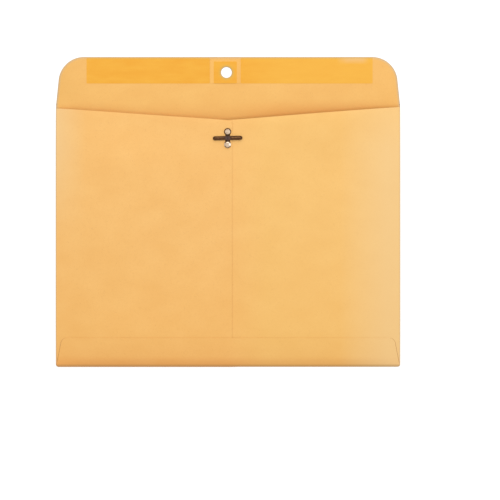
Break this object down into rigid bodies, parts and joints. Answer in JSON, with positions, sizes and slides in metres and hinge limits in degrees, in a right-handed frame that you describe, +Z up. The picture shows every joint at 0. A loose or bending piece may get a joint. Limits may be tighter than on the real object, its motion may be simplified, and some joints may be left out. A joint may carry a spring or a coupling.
{
  "type": "clasp envelope",
  "caption": "Kraft clasp envelope opening on its long side, seal flap open, with gum, a clasp hole and a two-prong metal clasp.",
  "frame": {"origin": "centre of the front panel's rest face, midway between the fold and the bottom edge", "axes": "+X along the flap's fold to the right, +Y from the bottom edge towards the open flap, +Z up out of the back of the envelope"},
  "size_m": [0.3174, 0.2861, 0.0069],
  "materials": {
    "kraft_paper": "matt brown kraft, 120 g per square metre",
    "patch_paper": "matt kraft with a thin glue film",
    "dry_gum": "dried water-activated gum, slightly glossy",
    "glue": "dried seam glue",
    "bright_tin": "bright tin plate",
    "dark_tin": "darkened tin plate, slightly glossy"
  },
  "bodies": {
    "pocket": {"front_panel": "kraft_paper", "left_back_panel": "kraft_paper", "right_back_panel": "kraft_paper", "bottom_flap": "kraft_paper", "seam_glue": "glue", "bottom_flap_glue": "glue", "clasp_plate": "dark_tin", "clasp_base_bar": "dark_tin", "rivet_upper": "bright_tin", "rivet_lower": "bright_tin"},
    "flap": {"seal_flap": "kraft_paper", "gum_strip_left": "dry_gum", "gum_strip_right": "dry_gum", "hole_reinforcement": "patch_paper", "centre_gum": "dry_gum"},
    "left_prong": {"prong_left": "dark_tin"},
    "right_prong": {"prong_right": "dark_tin"}
  },
  "joints": [
    {"name": "seal_flap_fold", "type": "hinge", "parent": "pocket", "child": "flap", "pos_m": [0, 0.12065, 0.00375], "axis": [1, 0, 0], "range_deg": [0, 180]},
    {"name": "left_prong_bend", "type": "hinge", "parent": "pocket", "child": "left_prong", "pos_m": [-0.0012, 0.09005, 0.00615], "axis": [0, 1, 0], "range_deg": [0, 90]},
    {"name": "right_prong_bend", "type": "hinge", "parent": "pocket", "child": "right_prong", "pos_m": [0.0006, 0.09005, 0.00615], "axis": [0, -1, 0], "range_deg": [0, 90]}
  ]
}
